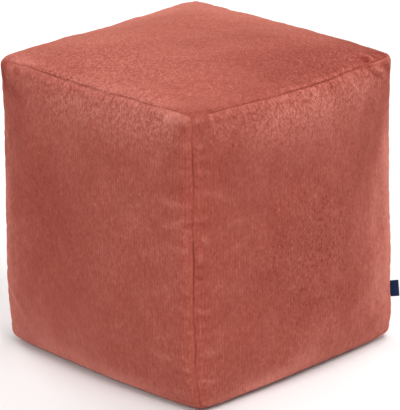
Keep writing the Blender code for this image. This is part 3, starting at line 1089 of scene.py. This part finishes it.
def cord_material(name, ribs_across, lie):
    """Brushed fine-rib cord. ribs_across is 0 where the ribs run up the panel, 1 where they run across it."""
    n = Nodes(name)
    cloth = n.add("ShaderNodeUVMap", uv_map="cloth").outputs["UV"]
    place = n.add("ShaderNodeTexCoord").outputs["Object"]
    # This tone attribute holds painted light and shade along with the nap's brushing
    painted_light_and_nap = n.add("ShaderNodeAttribute", attribute_name="nap_and_painted_light_tone").outputs["Fac"]
    grain = n.add("ShaderNodeAttribute", attribute_name="nap_grain").outputs["Fac"]

    # Where the nap is ruffled, its marks swirl; elsewhere they follow the way it lies
    wide = n.shift(place, WIDE_SWIRLS[0], n.math("MULTIPLY_ADD", grain, *WIDE_SWIRLS[1:]))
    close = n.shift(place, CLOSE_SWIRLS[0], n.math("MULTIPLY_ADD", grain, *CLOSE_SWIRLS[1:]))
    turned = (0.0, 0.0, math.radians(lie["turn"]))
    lain = n.mapped(cloth, "Rotation", turned)
    swirled = n.vector("ADD", n.vector("ADD", lain, wide), close)
    plain = n.vector("ADD", lain, close)

    lain_place = n.mapped(place, "Rotation", turned)
    broad = n.noise(n.mapped(lain_place, "Scale", (1.0, lie["share"], 1.0)), **BROAD_NAP)
    # Broad random patches added onto the painted light and shade and the nap's brushing
    tone = n.math("MULTIPLY_ADD", n.centred(broad), BROAD_TONE, painted_light_and_nap)
    patterns = {}
    for kind, swirls, detail, rough, ruffled_tone, plain_tone in NAP_PATTERNS:
        vector = n.mapped(swirled if swirls else plain, "Scale", (*lie[kind], 1.0))
        patterns[kind] = n.noise(vector, 1.0, detail, rough)
        weight = n.math("MULTIPLY_ADD", grain, ruffled_tone * lie["contrast"], plain_tone * lie["contrast"])
        tone = n.math("MULTIPLY_ADD", n.centred(patterns[kind]), weight, tone)

    rib, row = cord_ribs(n, cloth, ribs_across)
    # The rows show more in some places than in others, and least where the nap is ruffled
    even = n.math("SUBTRACT", 1.0, n.math("ABSOLUTE", grain))
    shown = n.math("MULTIPLY", even, n.math("MULTIPLY", n.noise(place, ROWS_SHOW_EACH, detail=1.0), 2.0))
    # Painted shade in the grooves between the ribs, their tops painted lighter
    tone = n.math("MULTIPLY_ADD", n.math("SUBTRACT", rib, RIB_MIDDLE), RIB_PAINTED_SHADE, tone)
    tone = n.math("MULTIPLY_ADD", n.math("MULTIPLY", row, shown), ROW_TONE, tone)
    n.link(n.ramp(n.math("ADD", tone, MIDDLE_TONE), CORD_COLOURS), n.shader.inputs["Base Color"])

    height = n.math("MULTIPLY_ADD", patterns["marks"], n.math("MULTIPLY_ADD", grain, *MARK_RELIEF), rib)
    height = n.math("MULTIPLY_ADD", patterns["flecks"], FLECK_RELIEF, height)
    height = n.math("MULTIPLY_ADD", n.noise(place, FIBRES, rough=0.7), FIBRE_RELIEF, height)
    n.bump(height, RIB_RELIEF)

    n.shader.inputs["Roughness"].default_value = CORD_ROUGHNESS
    n.shader.inputs["Specular IOR Level"].default_value = CORD_SPECULAR
    n.shader.inputs["Sheen Weight"].default_value = SHEEN_WEIGHT
    n.shader.inputs["Sheen Roughness"].default_value = SHEEN_ROUGHNESS
    n.shader.inputs["Sheen Tint"].default_value = SHEEN_TINT
    return n.material


def tape_material():
    """Closely woven tape: a fine twill in two blues, with a slight satin gloss."""
    n = Nodes("woven_tape")
    place = n.add("ShaderNodeTexCoord").outputs["Object"]
    split = n.add("ShaderNodeSeparateXYZ")
    n.link(place, split.inputs["Vector"])
    up = split.outputs["Z"]
    out = n.math("MULTIPLY", n.math("ADD", split.outputs["X"], split.outputs["Y"]), math.sqrt(0.5))
    twill = n.math("COSINE", n.math("MULTIPLY", n.math("ADD", out, up), 2.0 * math.pi / TAPE_TWILL))
    picks = n.math("COSINE", n.math("MULTIPLY", up, 2.0 * math.pi / TAPE_PICK))
    picks = n.math("MULTIPLY", picks, 1.0 - TAPE_TWILL_SHARE)
    weave = n.math("MULTIPLY_ADD", n.math("MULTIPLY_ADD", twill, TAPE_TWILL_SHARE, picks), 0.5, 0.5)
    fleck = n.centred(n.noise(place, TAPE_FLECKS, rough=0.6))
    tone = n.math("MULTIPLY_ADD", fleck, TAPE_FLECK_TONE, weave)
    n.link(n.ramp(tone, TAPE_COLOURS), n.shader.inputs["Base Color"])
    n.bump(weave, TAPE_RELIEF)
    n.shader.inputs["Roughness"].default_value = TAPE_ROUGHNESS
    n.shader.inputs["Specular IOR Level"].default_value = TAPE_SPECULAR
    return n.material


# -------------------------------- stage, light and camera

def add_stage():
    """A plain pale floor, and a faint even light from all round."""
    mesh = bpy.data.meshes.new("floor")
    corners = [(x * FLOOR_REACH, y * FLOOR_REACH, 0.0) for x, y in ((-1, -1), (1, -1), (1, 1), (-1, 1))]
    mesh.from_pydata(corners, [], [(0, 1, 2, 3)])
    material = bpy.data.materials.new("floor_white")
    material.use_nodes = True
    shader = material.node_tree.nodes["Principled BSDF"]
    shader.inputs["Base Color"].default_value = (FLOOR_TONE, FLOOR_TONE, FLOOR_TONE, 1.0)
    shader.inputs["Roughness"].default_value = FLOOR_ROUGHNESS
    mesh.materials.append(material)
    floor = bpy.data.objects.new("floor", mesh)
    floor.location.z = -FLOOR_DROP
    bpy.context.scene.collection.objects.link(floor)

    world = bpy.data.worlds.new("studio")
    world.use_nodes = True
    background = world.node_tree.nodes["Background"]
    background.inputs["Color"].default_value = (1.0, 1.0, 1.0, 1.0)
    background.inputs["Strength"].default_value = WORLD_STRENGTH
    bpy.context.scene.world = world


def add_lamp(name, azimuth, elevation, breadth, level):
    """A distant lamp as broad in the sky as a large softbox."""
    turn, rise = VIEW_AZIMUTH + math.radians(azimuth), math.radians(elevation)
    away = Vector((math.sin(turn) * math.cos(rise), -math.cos(turn) * math.cos(rise), math.sin(rise)))
    light = bpy.data.lights.new(name, "SUN")
    light.angle = math.radians(breadth)
    light.energy = level * math.pi
    lamp = bpy.data.objects.new(name, light)
    lamp.rotation_euler = away.to_track_quat("Z", "Y").to_euler()
    bpy.context.scene.collection.objects.link(lamp)


def add_camera(middle):
    """The photo's view; middle is the smooth cube's middle in plan, from which the aim was measured."""
    back = Vector((
        math.sin(VIEW_AZIMUTH) * math.cos(VIEW_ELEVATION),
        -math.cos(VIEW_AZIMUTH) * math.cos(VIEW_ELEVATION),
        math.sin(VIEW_ELEVATION),
    ))
    right = Vector((0, 0, 1)).cross(back).normalized()
    up = back.cross(right)
    rolled_right = right * math.cos(VIEW_ROLL) + up * math.sin(VIEW_ROLL)
    rolled_up = up * math.cos(VIEW_ROLL) - right * math.sin(VIEW_ROLL)
    aim = Vector((0, 0, VIEW_AIM_HEIGHT)) - Vector(middle)
    place = aim + back * VIEW_DISTANCE - rolled_right * VIEW_SHIFT[0] - rolled_up * VIEW_SHIFT[1]

    data = bpy.data.cameras.new("camera")
    data.sensor_width = SENSOR
    data.lens = LENS_IN_PIXELS / IMAGE_HEIGHT * SENSOR
    camera = bpy.data.objects.new("camera", data)
    turn = Matrix((rolled_right, rolled_up, back)).transposed().to_4x4()
    camera.matrix_world = Matrix.Translation(place) @ turn
    bpy.context.scene.collection.objects.link(camera)
    bpy.context.scene.camera = camera


middle = skin_middle()
upright = cord_material("cord_ribs_up", 0, SIDE_LIE)
crossways = cord_material("cord_ribs_across", 1, TOP_LIE)
for panel_name in PANELS:
    make_panel(panel_name, middle, crossways if panel_name in ("top", "bottom") else upright)
tab_piece(tape_material())
add_stage()
for lamp_row in LAMPS:
    add_lamp(*lamp_row)
add_camera(middle)
bpy.context.scene.view_settings.view_transform = "Standard"
